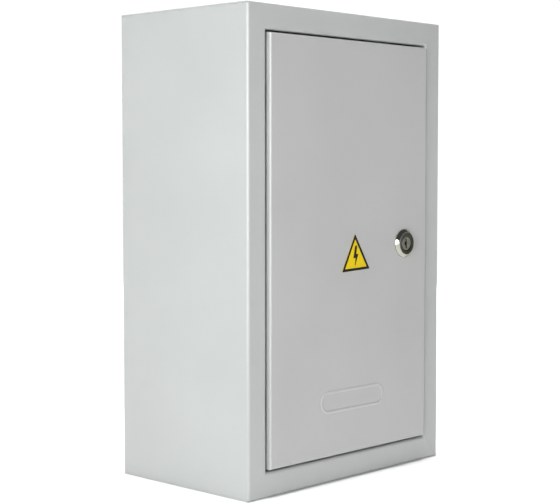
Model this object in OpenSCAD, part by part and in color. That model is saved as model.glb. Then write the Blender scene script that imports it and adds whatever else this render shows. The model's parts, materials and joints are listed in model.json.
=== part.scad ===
// Wall-mounted switchboard cabinet: folded sheet-steel body, inset door on hidden
// hinges, quarter-turn cam lock, mounting plate, busbars and cable entry plate.
// Origin: centre of the four wall holes, on the rear face. Front faces -Y, up is +Z.
// The door is drawn shut and the lock cam points up, clear of the frame.

/* [Body] */
// Overall width of the body
body_w = 250; // [240:5:320]
// Overall height of the body
body_h = 400; // [360:10:600]
// Overall depth of the body, without the door and lock
body_d = 155; // [120:5:250]
// Sheet thickness of body and door
sheet = 1.2; // [0.8:0.1:1.5]
// Width of the front frame round the door
frame_w = 21; // [18:0.5:26]
// Depth of the lip folded back round the door opening
lip = 12; // [11:0.5:14]
// Outside radius of the body bends
bend_r = 2.4; // [2:0.1:3.5]

/* [Door] */
// Gap between door and frame at the sides
gap_side = 2; // [1.5:0.1:2.5]
// Gap between door and frame at top and bottom
gap_end = 2; // [1.5:0.1:3]
// How far the door face stands proud of the frame
proud = 3; // [2:0.1:3.2]
// Depth of the folded door edge
door_fold = 10; // [9:0.5:11]
// Outside radius of the door edge
door_r = 2; // [1.8:0.1:3]
// Height of each hinge above and below the middle
hinge_z = 125; // [90:5:135]

/* [Lock] */
// Distance of the lock from the middle of the door
lock_x = 70; // [60:1:74]
// Height of the lock above the middle of the door
lock_z = 1.2; // [-20:0.2:20]
// Diameter of the lock bezel
bezel_d = 25.5; // [24:0.5:28]
// Length of the cam from the lock axis to its tip
cam_len = 42; // [38:1:46]

/* [Fixing] */
// Spacing of the wall holes across
wall_x = 190; // [170:5:200]
// Spacing of the wall holes up and down
wall_z = 340; // [300:10:350]
// Diameter of the wall holes
wall_d = 8.5; // [6.5:0.5:9]
// Distance from the rear sheet to the mounting plate
plate_gap = 20; // [15:1:30]
// Number of cable entries in the bottom plate
entries = 3; // [2:1:3]
// Clear diameter of a cable entry hole
entry_d = 22; // [16:1:24]

/* [Hidden] */
$fn = 48;
// Clearance between parts that are only laid together
fit = 0.1;
// Running clearance of a pin or shaft in its bore, on the radius
run = 0.05;
// Gap along the mitres, as welded and dressed
seam = 0.04;
half_w = body_w / 2;
half_h = body_h / 2;
front = -body_d;
// Half size of the door opening
open_x = half_w - frame_w;
open_z = half_h - frame_w;
// Door edges and faces
door_x = open_x - gap_side;
door_z = open_z - gap_end;
door_front = front - proud;
door_in = door_front + sheet;
// Hinge axis, knuckle and ears
pin_d = 4;
pin_x = -door_x + 9.5;
pin_y = door_front + 4.8;
knuckle_r = 3.2;
knuckle_h = 24;
ear_t = 1.5;
ear_gap = 0.3;
// Hinge arm: it passes behind the swept edge of the door
arm_t = 2;
arm_back = 12.2;
arm_side = 7.5;
// Lock: threaded barrel, plug, tail and cam
barrel_d = 16;
plug_d = 12;
bezel_h = 3.4;
cam_y = front + lip + 0.7;
cam_t = 2;
tail = 7;
// Mounting plate and the studs that carry it
plate_t = 1.5;
plate_w = body_w - 50;
plate_h = body_h - 50;
plate_back = -sheet - plate_gap;
plate_front = plate_back - plate_t;
plate_cut = 20;
stud_x = plate_w / 2 - 14;
stud_z = plate_h / 2 - 32;
stud_d = 6;
// Cable entry plate in the bottom
entry_w = 180;
entry_l = 84;
entry_rim = 14;
entry_t = 1.5;
seal_t = 2;
entry_y = -body_d / 2 + 2;
entry_step = 54;
hole_d = entry_d + 6;
// Rails
rail_l = plate_w - 20;
rail_h = 35;
rail_deep = 7.5;
rail_t = 1;
rail_zs = [90, -30];
rail_hole = rail_l / 2 - 20;
rail_step = rail_hole * 0.4;
// Neutral and earth bars
bar_l = 78;
bar_x = 47;
bar_z = -112;
bar_h = 9;
bar_t = 7;
foot_w = 12;
foot_deep = 17;
bar_ways = 7;
// Warning sign
sign_x = 3;
sign_z = -9.1;
sign_side = 36.4;
sign_turn = 2.4;
sign_rim = 2.2;
sign_t = 0.3;
mark_t = 0.15;
// Pressed oblong on the lower door
oblong = [84, 20];
oblong_x = 0.2;
oblong_z = 70 - half_h;
oblong_rib = 3.2;
oblong_h = 0.7;
// Door stops
stop_x = 40;
stop_w = 24;
stop_gap = 0.5;
// Bonding studs and lead
bond_z = -60;
door_bond_x = -70;
body_bond_y = -104;
bond_d = 6;
lead_r = 1.9;
lug_t = 1.2;
lead_route = [
    [-70, -151.3, -72],
    [-70, -150.6, -84],
    [-71, -148, -98],
    [-75, -141, -110],
    [-83, -132, -117],
    [-92, -122, -117],
    [-101, -113, -109],
    [-108.5, -107, -98],
    [-114, -104.8, -89],
    [-117.6, -104.1, -80],
    [-118.3, -104, -72]
];
lead_sides = 8;
lead_steps = 4;

// ---- shared shapes -------------------------------------------------------

// Quarter ring of sheet, outside radius r, in the quadrant of +X and +Y
module quarter(r, t) {
    intersection() {
        difference() {
            circle(r);
            circle(r - t);
        }
        square(r + 1);
    }
}

// Flat section of a folded strip. Each leg is [length, turn]. The strip runs
// along +X with its outer face on y = 0 and its thickness t below, then turns
// right (-1) or left (1) by a quarter bend of outside radius r.
module folded(legs, t, r, i = 0) {
    leg = legs[i][0];
    turn = legs[i][1];
    translate([0, -t])
        square([leg, t]);
    if (turn < 0) {
        translate([leg, -r])
            quarter(r, t);
        translate([leg + r, -r])
            rotate(-90)
                folded(legs, t, r, i + 1);
    }
    if (turn > 0) {
        translate([leg, r - t])
            mirror([0, 1])
                quarter(r, t);
        translate([leg + r - t, r - t])
            rotate(90)
                folded(legs, t, r, i + 1);
    }
}

// Flat rectangle with round corners, from its lowest and highest corners
module rounded(a, b, r) {
    translate([a.x + r, a.y])
        square([b.x - a.x - 2 * r, b.y - a.y]);
    translate([a.x, a.y + r])
        square([b.x - a.x, b.y - a.y - 2 * r]);
    for (x = [a.x + r, b.x - r])
        for (y = [a.y + r, b.y - r])
            translate([x, y])
                circle(r);
}

// Box from its lowest and highest corners
module block(a, b) {
    translate(a)
        cube(b - a);
}

// Rod along +Y that starts at y
module rod_y(x, y, z, d, l) {
    translate([x, y, z])
        rotate([-90, 0, 0])
            cylinder(d = d, h = l);
}

// Draws its children at four mirrored places on the rear
module four(x, z) {
    for (sx = [-1, 1])
        for (sz = [-1, 1])
            translate([sx * x, 0, sz * z])
                children();
}

// Draws its children at the upper and the lower hinge
module hinges() {
    for (z = [hinge_z, -hinge_z])
        translate([0, 0, z])
            children();
}

// Hexagon nut along +Z with a plain bore
module nut(across, bore, l) {
    difference() {
        cylinder(d = across / cos(30), h = l, $fn = 6);
        translate([0, 0, -1])
            cylinder(d = bore, h = l + 2);
    }
}

// Flat ring along +Z
module ring(outer, bore, l) {
    difference() {
        cylinder(d = outer, h = l);
        translate([0, 0, -1])
            cylinder(d = bore, h = l + 2);
    }
}

// Pan-head screw along -Z with its head above z = 0 and a cross recess
module screw(d, l, head_d, head_h) {
    translate([0, 0, -l])
        cylinder(d = d, h = l);
    difference() {
        union() {
            cylinder(d = head_d, h = head_h * 0.6);
            translate([0, 0, head_h * 0.6])
                cylinder(d1 = head_d, d2 = head_d * 0.72, h = head_h * 0.4);
        }
        translate([0, 0, head_h])
            for (a = [0, 90])
                rotate(a)
                    cube([head_d * 0.5, head_d * 0.11, head_h], center = true);
    }
}

// ---- body ----------------------------------------------------------------

// Front zone of the upper end of the body, between its mitred corners
module mitre_zone() {
    reach = frame_w + 6;
    translate([0, front + lip + 1, 0])
        rotate([90, 0, 0])
            linear_extrude(lip + 2)
                polygon([
                    [-half_w, half_h],
                    [half_w, half_h],
                    [half_w - reach, half_h - reach],
                    [-half_w + reach, half_h - reach]
                ]);
}

// Left side, rear and right side, folded from one sheet with the frame strips
module body_wrap() {
    side = body_d - 2 * bend_r;
    strip = frame_w - 2 * bend_r;
    legs = [
        [lip - bend_r, -1],
        [strip, -1],
        [side, -1],
        [body_w - 2 * bend_r, -1],
        [side, -1],
        [strip, -1],
        [lip - bend_r, 0]
    ];
    color([0.80, 0.82, 0.80])
        difference() {
            translate([0, 0, -half_h + sheet + fit])
                linear_extrude(body_h - 2 * (sheet + fit))
                    translate([-open_x, front + lip])
                        rotate(-90)
                            folded(legs, sheet, bend_r);
            for (s = [0, 1])
                mirror([0, 0, s])
                    translate([0, 0, -seam])
                        mitre_zone();
            four(wall_x / 2, wall_z / 2)
                rod_y(0, -sheet - 1, 0, wall_d, sheet + 2);
        }
}

// Upper end of the body: end sheet, frame strip and lip, folded from one sheet
module end_cap() {
    legs = [
        [lip - bend_r, -1],
        [frame_w - 2 * bend_r, -1],
        [body_d - bend_r, 0]
    ];
    intersection() {
        translate([-half_w, 0, 0])
            rotate([90, 0, 90])
                linear_extrude(body_w)
                    translate([front + lip, open_z])
                        rotate(180)
                            folded(legs, sheet, bend_r);
        translate([0, 0, open_z - 1])
            linear_extrude(frame_w + 2)
                rounded([-half_w, front], [half_w, 0], bend_r);
        union() {
            mitre_zone();
            block([-half_w, front + bend_r, half_h - sheet], [half_w, 0, half_h]);
        }
    }
}

module top_cap() {
    color([0.79, 0.81, 0.79])
        end_cap();
}

// Places of the entry plate screws
module entry_places() {
    for (x = [-1, 0, 1])
        for (y = [-1, 1])
            translate([x * (entry_w - entry_rim) / 2, entry_y + y * (entry_l - entry_rim) / 2, 0])
                children();
}

// Lower end of the body, with the window for the entry plate
module bottom_cap() {
    window = [entry_w / 2 - entry_rim, entry_l / 2 - entry_rim];
    color([0.79, 0.81, 0.79])
        difference() {
            mirror([0, 0, 1])
                end_cap();
            translate([0, entry_y, -half_h - 1])
                linear_extrude(sheet + 2)
                    rounded(-window, window, 4);
            entry_places()
                translate([0, 0, -half_h - 1])
                    cylinder(d = 4 + 2 * fit, h = sheet + 2);
        }
}

// Outline of the entry plate and its seal, centred on the plate
module entry_outline() {
    half = [entry_w / 2, entry_l / 2];
    translate([0, entry_y])
        rounded(-half, half, 5);
}

module entry_seal() {
    window = [entry_w / 2 - entry_rim, entry_l / 2 - entry_rim];
    color([0.13, 0.13, 0.13])
        difference() {
            translate([0, 0, -half_h + sheet])
                linear_extrude(seal_t)
                    difference() {
                        entry_outline();
                        translate([0, entry_y])
                            rounded(-window, window, 4);
                    }
            entry_places()
                translate([0, 0, -half_h])
                    cylinder(d = 4.6, h = 2 * seal_t + 2);
        }
}

module entry_plate() {
    low = -half_h + sheet + seal_t;
    color([0.78, 0.80, 0.78])
        difference() {
            translate([0, 0, low])
                linear_extrude(entry_t)
                    entry_outline();
            entry_places()
                translate([0, 0, low - 1])
                    cylinder(d = 4.6, h = entry_t + 2);
            entry_holes()
                translate([0, 0, low - 1])
                    cylinder(d = hole_d, h = entry_t + 2);
        }
}

// Places of the cable entries, along the plate
module entry_holes() {
    for (i = [0:entries - 1])
        translate([(i - (entries - 1) / 2) * entry_step, entry_y, 0])
            children();
}

module entry_screws() {
    color([0.78, 0.77, 0.72])
        entry_places()
            translate([0, 0, -half_h + sheet + seal_t + entry_t])
                screw(4, sheet + seal_t + entry_t, 7.5, 2.4);
}

// Rubber rings, grooved over the edge of each entry hole
module entry_grommets() {
    low = -half_h + sheet + seal_t;
    groove = hole_d / 2 - fit;
    lobe = hole_d / 2 + 3;
    bore = entry_d / 2;
    color([0.10, 0.10, 0.10])
        entry_holes()
            translate([0, 0, low])
                rotate_extrude()
                    polygon([
                        [bore, -seal_t],
                        [lobe - 1.2, -seal_t],
                        [lobe, -fit],
                        [groove, -fit],
                        [groove, entry_t + fit],
                        [lobe, entry_t + fit],
                        [lobe - 1.6, entry_t + 2.4],
                        [bore, entry_t + 4.2]
                    ]);
}

// ---- mounting plate and what it carries ----------------------------------

module plate_studs() {
    color([0.72, 0.73, 0.72])
        four(stud_x, stud_z)
            rod_y(0, plate_front - 12, 0, stud_d, 12 - plate_front - sheet);
}

module plate_spacers() {
    color([0.74, 0.74, 0.72])
        four(stud_x, stud_z)
            translate([0, plate_back, 0])
                rotate([-90, 0, 0])
                    ring(12, stud_d + 2 * fit, plate_gap);
}

module mounting_plate() {
    w = plate_w / 2;
    h = plate_h / 2;
    color([0.70, 0.72, 0.73])
        difference() {
            translate([0, plate_back, 0])
                rotate([90, 0, 0])
                    linear_extrude(plate_t)
                        polygon([
                            [-w + plate_cut, -h],
                            [w - plate_cut, -h],
                            [w, -h + plate_cut],
                            [w, h - plate_cut],
                            [w - plate_cut, h],
                            [-w + plate_cut, h],
                            [-w, h - plate_cut],
                            [-w, -h + plate_cut]
                        ]);
            four(stud_x, stud_z)
                rod_y(0, plate_front - 1, 0, stud_d + 1, plate_t + 2);
            for (z = rail_zs)
                for (x = [-rail_hole, rail_hole])
                    rod_y(x, plate_front - 1, z, 5.2, plate_t + 2);
            for (x = foot_places())
                rod_y(x, plate_front - 1, bar_z - bar_h, 4.2, plate_t + 2);
        }
}

module plate_washers() {
    color([0.75, 0.75, 0.73])
        four(stud_x, stud_z)
            translate([0, plate_front, 0])
                rotate([90, 0, 0])
                    ring(14, stud_d + 2 * fit, 1.4);
}

module plate_nuts() {
    color([0.76, 0.75, 0.70])
        four(stud_x, stud_z)
            translate([0, plate_front - 1.4, 0])
                rotate([90, 0, 0])
                    nut(10, stud_d + 2 * fit, 5);
}

// Top-hat rails, folded lips to the front and the web on the plate
module rails() {
    r = 1.6;
    lip_leg = 3.4;
    wall = rail_deep - 2 * r;
    web = rail_h - 2 * lip_leg - 4 * r + 2 * rail_t;
    legs = [[lip_leg, -1], [wall, 1], [web, 1], [wall, -1], [lip_leg, 0]];
    color([0.80, 0.80, 0.76])
        for (z = rail_zs)
            difference() {
                translate([rail_l / 2, plate_front - rail_deep, z - rail_h / 2])
                    mirror([0, 1, 0])
                        rotate([0, -90, 0])
                            linear_extrude(rail_l)
                                folded(legs, rail_t, r);
                for (x = [-rail_hole, rail_hole])
                    rod_y(x, plate_front - rail_t - 1, z, 5.2, rail_t + 2);
                for (x = [-rail_hole + rail_step:rail_step:rail_hole - rail_step])
                    translate([x, plate_front + 1, z])
                        rotate([90, 0, 0])
                            linear_extrude(rail_t + 2)
                                rounded([-7.5, -3.1], [7.5, 3.1], 3.09);
            }
}

module rail_screws() {
    color([0.78, 0.77, 0.72])
        for (z = rail_zs)
            for (x = [-rail_hole, rail_hole])
                translate([x, plate_front - rail_t, z])
                    rotate([90, 0, 0])
                        screw(5, 7, 9, 3.2);
}

// Places across the cabinet of the four bar feet
function foot_places() = [for (s = [-1, 1]) for (e = [-1, 1]) s * bar_x + e * (bar_l - foot_w) / 2];

// Insulated foot: a post that carries the bar and a toe with a fixing hole
module foot() {
    difference() {
        union() {
            block([-foot_w / 2, -foot_deep, -bar_h / 2], [foot_w / 2, 0, bar_h / 2 + 3]);
            block([-foot_w / 2, -4, -bar_h - 6], [foot_w / 2, 0, 0]);
        }
        rod_y(0, -5, -bar_h, 4.2, 6);
    }
}

module feet(side) {
    for (e = [-1, 1])
        translate([side * bar_x + e * (bar_l - foot_w) / 2, plate_front, bar_z])
            foot();
}

module neutral_feet() {
    color([0.10, 0.28, 0.62])
        feet(-1);
}

module earth_feet() {
    color([0.16, 0.50, 0.22])
        feet(1);
}

// Brass bar with a row of wire holes from below and screw holes in front
module bar(side) {
    bar_y = plate_front - foot_deep - bar_t;
    difference() {
        block(
            [side * bar_x - bar_l / 2, bar_y, bar_z - bar_h / 2],
            [side * bar_x + bar_l / 2, bar_y + bar_t, bar_z + bar_h / 2]
        );
        bar_holes(side) {
            translate([0, 0, -bar_h])
                cylinder(d = 3.6, h = 2 * bar_h);
            rotate([90, 0, 0])
                cylinder(d = 3.2, h = bar_t);
        }
    }
}

// Places of the wire holes along a bar
module bar_holes(side) {
    bar_y = plate_front - foot_deep - bar_t / 2;
    for (i = [0:bar_ways - 1])
        translate([side * bar_x + (i - (bar_ways - 1) / 2) * 8, bar_y, bar_z])
            children();
}

module neutral_bar() {
    color([0.78, 0.62, 0.30])
        bar(-1);
}

module earth_bar() {
    color([0.78, 0.62, 0.30])
        bar(1);
}

module bar_screws() {
    color([0.80, 0.74, 0.52])
        for (side = [-1, 1])
            bar_holes(side)
                translate([0, -bar_t / 2, 0])
                    rotate([90, 0, 0])
                        screw(3, 1.6, 5.6, 2.6);
}

module feet_screws() {
    color([0.78, 0.77, 0.72])
        for (x = foot_places())
            translate([x, plate_front - 4, bar_z - bar_h])
                rotate([90, 0, 0])
                    screw(4, 8, 7.4, 2.4);
}

// ---- hinges and door -----------------------------------------------------

// Goose-neck arms on the body, with a knuckle round each pin
module frame_hinges() {
    foot_x = -open_x - sheet;
    arm_y = pin_y + arm_back;
    r = arm_t + 1;
    foot_leg = 9;
    cross = pin_x + arm_side + arm_t - foot_x + arm_t - 2 * r;
    drop = arm_back + 1.5 * arm_t - r;
    legs = [[foot_leg, -1], [cross, -1], [drop, 0]];
    color([0.74, 0.75, 0.74])
        hinges()
            translate([0, 0, -knuckle_h / 2])
                difference() {
                    linear_extrude(knuckle_h) {
                        translate([foot_x - arm_t, arm_y + arm_t - r - foot_leg])
                            rotate(90)
                                folded(legs, arm_t, r);
                        translate([pin_x, pin_y])
                            circle(knuckle_r);
                        translate([pin_x, pin_y - arm_t / 2])
                            square([arm_side + arm_t, arm_t]);
                    }
                    translate([pin_x, pin_y, -1])
                        cylinder(d = pin_d + 2 * run, h = knuckle_h + 2);
                }
}

// Brackets on the door: a base on the inner face and two ears round the pin
module door_hinges() {
    low = knuckle_h / 2 + ear_gap;
    base_x = [pin_x + 4.5, pin_x + 24];
    color([0.74, 0.75, 0.74])
        hinges() {
            block([base_x[0], door_in, -low], [base_x[1], door_in + ear_t, low]);
            for (s = [0, 1])
                mirror([0, 0, s])
                    translate([0, 0, low])
                        linear_extrude(ear_t)
                            difference() {
                                union() {
                                    translate([pin_x, pin_y])
                                        circle(3.5);
                                    translate([pin_x, door_in])
                                        square([base_x[1] - pin_x, ear_t]);
                                    translate([pin_x, door_in])
                                        square([9, pin_y - door_in + 3.5]);
                                    translate([pin_x - 3.5, door_in])
                                        square([3.5, pin_y - door_in]);
                                }
                                translate([pin_x, pin_y])
                                    circle(pin_d / 2);
                            }
        }
}

module hinge_pins() {
    long = knuckle_h / 2 + ear_gap + ear_t;
    color([0.66, 0.67, 0.67])
        hinges()
            translate([pin_x, pin_y, -long - 1])
                cylinder(d = pin_d, h = 2 * long + 2);
}

// Section across the door: half width w, face at a, open side at b
module door_section(w, a, b, r) {
    translate([-w, a + r])
        square([2 * w, b - a - r]);
    translate([r - w, a])
        square([2 * (w - r), r + 1]);
    for (s = [-1, 1])
        translate([s * (w - r), a + r])
            circle(r);
}

// Solid with the outer shape of the door, smaller by g on each face
module door_solid(g) {
    a = door_front + g;
    b = door_front + door_fold + g;
    intersection() {
        translate([0, 0, -door_z - 1])
            linear_extrude(2 * door_z + 2)
                door_section(door_x - g, a, b, door_r - g);
        rotate([0, -90, 0])
            translate([0, 0, -door_x - 1])
                linear_extrude(2 * door_x + 2)
                    door_section(door_z - g, a, b, door_r - g);
    }
}

// Outline of the pressed oblong, grown by g
module oblong_shape(g) {
    half = [oblong.x / 2 + g, oblong.y / 2 + g];
    translate([oblong_x, oblong_z])
        rounded(-half, half, half.y - 0.01);
}

// Raised rim of the oblong: its middle line is rib / 2 inside the outline
module oblong_rim(w, y, h) {
    translate([0, y, 0])
        rotate([90, 0, 0])
            linear_extrude(h)
                difference() {
                    oblong_shape((w - oblong_rib) / 2);
                    oblong_shape(-(w + oblong_rib) / 2);
                }
}

module door_panel() {
    notch = knuckle_h / 2 + ear_gap + ear_t + 1.2;
    color([0.76, 0.77, 0.76])
        difference() {
            union() {
                difference() {
                    door_solid(0);
                    door_solid(sheet);
                }
                oblong_rim(oblong_rib, door_front + 0.1, oblong_h + 0.1);
            }
            oblong_rim(oblong_rib / 2, door_in + 1, oblong_h + 1);
            hinges()
                block([-door_x - 1, pin_y + 1, -notch], [-door_x + 4, door_in + door_fold, notch]);
            rod_y(lock_x, door_front - 1, lock_z, barrel_d + 2 * fit, sheet + 2);
        }
}

// Angle behind the frame lip that the door edge comes to rest on
module door_stops() {
    r = 1.6;
    start = 3;
    legs = [[lip + stop_gap + sheet - start - r, -1], [12, 0]];
    color([0.74, 0.75, 0.74])
        for (s = [0, 1])
            mirror([0, 0, s])
                translate([stop_x, 0, 0])
                    rotate([90, 0, 90])
                        linear_extrude(stop_w)
                            translate([front + start, open_z + 2 * sheet])
                                folded(legs, sheet, r);
}

module stop_pads() {
    a = door_front + door_fold + 0.3;
    b = front + lip + stop_gap;
    color([0.12, 0.12, 0.12])
        for (s = [0, 1])
            mirror([0, 0, s])
                block([stop_x + 2, a, door_z - 6], [stop_x + stop_w - 2, b, door_z + 1.5]);
}

// ---- lock ----------------------------------------------------------------

// Bezel and barrel, turned in one piece
module lock_housing() {
    bore = plug_d / 2 + run;
    base = bezel_d / 2;
    nose = base - 2.2;
    barrel = barrel_d / 2;
    end = cam_y - door_front - 1.2;
    color([0.80, 0.80, 0.80])
        translate([lock_x, door_front, lock_z])
            rotate([90, 0, 0])
                rotate_extrude()
                    polygon([
                        [bore, -end],
                        [barrel - 0.8, -end],
                        [barrel, -end + 0.8],
                        [barrel, 0],
                        [base, 0],
                        [base, 0.7],
                        [nose, bezel_h - 0.4],
                        [nose - 0.4, bezel_h],
                        [bore + 1, bezel_h],
                        [bore, bezel_h - 0.9]
                    ]);
}

module lock_nut() {
    color([0.74, 0.72, 0.64])
        translate([lock_x, door_in, lock_z])
            rotate([-90, 0, 0])
                nut(22, barrel_d + 2 * fit, 4.5);
}

// Turning plug with the key way in front and a square tail behind
module lock_plug() {
    nose = bezel_h - 0.6;
    shoulder = cam_y - door_front;
    color([0.55, 0.55, 0.54])
        translate([lock_x, door_front, lock_z])
            rotate([90, 0, 0])
                difference() {
                    union() {
                        translate([0, 0, -shoulder])
                            cylinder(d = plug_d, h = shoulder + nose);
                        translate([-tail / 2, -tail / 2, -shoulder - cam_t])
                            cube([tail, tail, cam_t + 1]);
                    }
                    translate([-0.8, -4.2, nose - 9])
                        cube([1.6, 8.4, 10]);
                    translate([-2.2, -1.5, nose - 9])
                        cube([1.6, 3, 10]);
                    translate([0, 0, -shoulder - cam_t - 1])
                        cylinder(d = 5, h = 7);
                }
}

module lock_cam() {
    wide = 13;
    color([0.74, 0.72, 0.64])
        translate([lock_x, cam_y + cam_t, lock_z])
            rotate([90, 0, 0])
                linear_extrude(cam_t)
                    difference() {
                        union() {
                            circle(9);
                            rounded([-wide / 2, 0], [wide / 2, cam_len], 2.5);
                        }
                        square(tail + 2 * fit, center = true);
                    }
}

module cam_washer() {
    color([0.76, 0.75, 0.70])
        translate([lock_x, cam_y + cam_t, lock_z])
            rotate([-90, 0, 0])
                ring(13, 5.2, 1.2);
}

module cam_screw() {
    color([0.76, 0.75, 0.70])
        translate([lock_x, cam_y + cam_t + 1.2, lock_z])
            rotate([-90, 0, 0])
                screw(4.9, 6.5, 9, 3.4);
}

// ---- warning sign --------------------------------------------------------

// Stands its children, drawn flat, on the door at height y of the sign's layers.
// The sign is stuck on by hand and sits a little turned.
module on_sign(y, t) {
    translate([sign_x, door_front - y, sign_z])
        rotate([90, 0, 0])
            rotate(sign_turn)
                linear_extrude(t)
                    children();
}

// Triangle with round corners, g inside the edge of the sign
module triangle(g, corner) {
    reach = sign_side / sqrt(3);
    hull()
        for (a = [90, 210, 330])
            rotate(a)
                translate([reach - 2 * (corner + g), 0])
                    circle(corner, $fn = 32);
}

module sign_field() {
    color([0.93, 0.79, 0.06])
        on_sign(0, sign_t)
            triangle(0, 0.5);
}

module sign_border() {
    color([0.08, 0.08, 0.08])
        on_sign(sign_t, mark_t)
            difference() {
                triangle(0, 0.5);
                triangle(sign_rim, 0.4);
            }
}

// Plain zigzag in the middle of the sign
module sign_flash() {
    color([0.08, 0.08, 0.08])
        on_sign(sign_t, mark_t)
            polygon([
                [-0.2, 11],
                [2.2, 11],
                [0.9, 3.6],
                [3.5, 3.6],
                [-1.1, -7],
                [-0.2, 0.4],
                [-2.9, 0.4]
            ]);
}

// ---- earth bonding -------------------------------------------------------

// Puts its children at the door stud, standing along +Y
module on_door() {
    translate([door_bond_x, door_in, bond_z])
        children();
}

// Puts its children at the side wall stud, standing along +X
module on_body() {
    translate([-half_w + sheet, body_bond_y, bond_z])
        rotate(-90)
            children();
}

module bond_stud() {
    color([0.80, 0.68, 0.42])
        rotate([-90, 0, 0])
            cylinder(d = bond_d, h = 14);
}

module bond_nuts() {
    bore = bond_d + 2 * fit;
    color([0.80, 0.68, 0.42])
        rotate([-90, 0, 0]) {
            nut(10, bore, 3);
            translate([0, 0, 3 + 2 * lug_t])
                nut(10, bore, 4.5);
        }
}

module bond_washer() {
    color([0.78, 0.77, 0.72])
        translate([0, 3 + lug_t, 0])
            rotate([-90, 0, 0])
                ring(12, bond_d + 2 * fit, lug_t);
}

// Ring terminal with its crimp barrel hanging down
module bond_lug() {
    barrel_r = 2.5;
    color([0.78, 0.78, 0.76])
        translate([0, 3, 0]) {
            rotate([-90, 0, 0])
                ring(12, bond_d + 4 * fit, lug_t);
            difference() {
                union() {
                    block([-barrel_r, 0, -9], [barrel_r, lug_t, -5.3]);
                    translate([0, barrel_r, -16])
                        cylinder(r = barrel_r, h = 8);
                }
                translate([0, barrel_r, -17])
                    cylinder(r = lead_r + fit, h = 10);
            }
        }
}

module door_stud() {
    on_door()
        bond_stud();
}

module door_stud_nuts() {
    on_door()
        bond_nuts();
}

module door_stud_washer() {
    on_door()
        bond_washer();
}

module door_lug() {
    on_door()
        bond_lug();
}

module body_stud() {
    on_body()
        bond_stud();
}

module body_stud_nuts() {
    on_body()
        bond_nuts();
}

module body_stud_washer() {
    on_body()
        bond_washer();
}

module body_lug() {
    on_body()
        bond_lug();
}

// Point on a smooth curve through four route points, u from 0 to 1
function curve(a, b, c, d, u) =
    0.5 * (2 * b + (c - a) * u + (2 * a - 5 * b + 4 * c - d) * u * u
        + (3 * b - a - 3 * c + d) * u * u * u);

function unit(v) = v / norm(v);

// The route with lead_steps points on each stretch
function smooth(p) = [
    for (i = [0:len(p) - 2])
        for (k = [0:lead_steps - 1])
            curve(p[max(i - 1, 0)], p[i], p[i + 1], p[min(i + 2, len(p) - 1)], k / lead_steps),
    p[len(p) - 1]
];

// Round tube of radius r along the points p
module tube(p, r) {
    last = len(p) - 1;
    across = unit([1, 1, 0]);
    rings = [
        for (i = [0:last])
            let (t = unit(p[min(i + 1, last)] - p[max(i - 1, 0)]))
            let (b = unit(cross(t, across)))
            let (n = cross(b, t))
            for (k = [0:lead_sides - 1])
                let (a = 360 * k / lead_sides)
                p[i] + r * (cos(a) * n + sin(a) * b)
    ];
    sides = [
        for (i = [0:last - 1])
            for (k = [0:lead_sides - 1])
                let (m = (k + 1) % lead_sides)
                [
                    i * lead_sides + k,
                    i * lead_sides + m,
                    (i + 1) * lead_sides + m,
                    (i + 1) * lead_sides + k
                ]
    ];
    start = [for (k = [lead_sides - 1:-1:0]) k];
    end = [for (k = [0:lead_sides - 1]) last * lead_sides + k];
    polyhedron(rings, concat([start], sides, [end]));
}

module bond_lead() {
    color([0.55, 0.70, 0.15])
        tube(smooth(lead_route), lead_r);
}

// ---- parts ---------------------------------------------------------------

// Part to draw, or all of them

body_wrap();
top_cap();
bottom_cap();
entry_seal();
entry_plate();
entry_screws();
entry_grommets();
plate_studs();
plate_spacers();
mounting_plate();
plate_washers();
plate_nuts();
rails();
rail_screws();
neutral_feet();
neutral_bar();
earth_feet();
earth_bar();
bar_screws();
feet_screws();
frame_hinges();
door_stops();
stop_pads();
body_stud();
body_stud_nuts();
body_stud_washer();
body_lug();
bond_lead();
door_panel();
door_hinges();
hinge_pins();
lock_housing();
lock_nut();
sign_field();
sign_border();
sign_flash();
door_stud();
door_stud_nuts();
door_stud_washer();
door_lug();
lock_plug();
lock_cam();
cam_washer();
cam_screw();
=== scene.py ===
import json
import math

import bmesh
import bpy
from mathutils import Euler, Matrix, Vector

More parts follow.
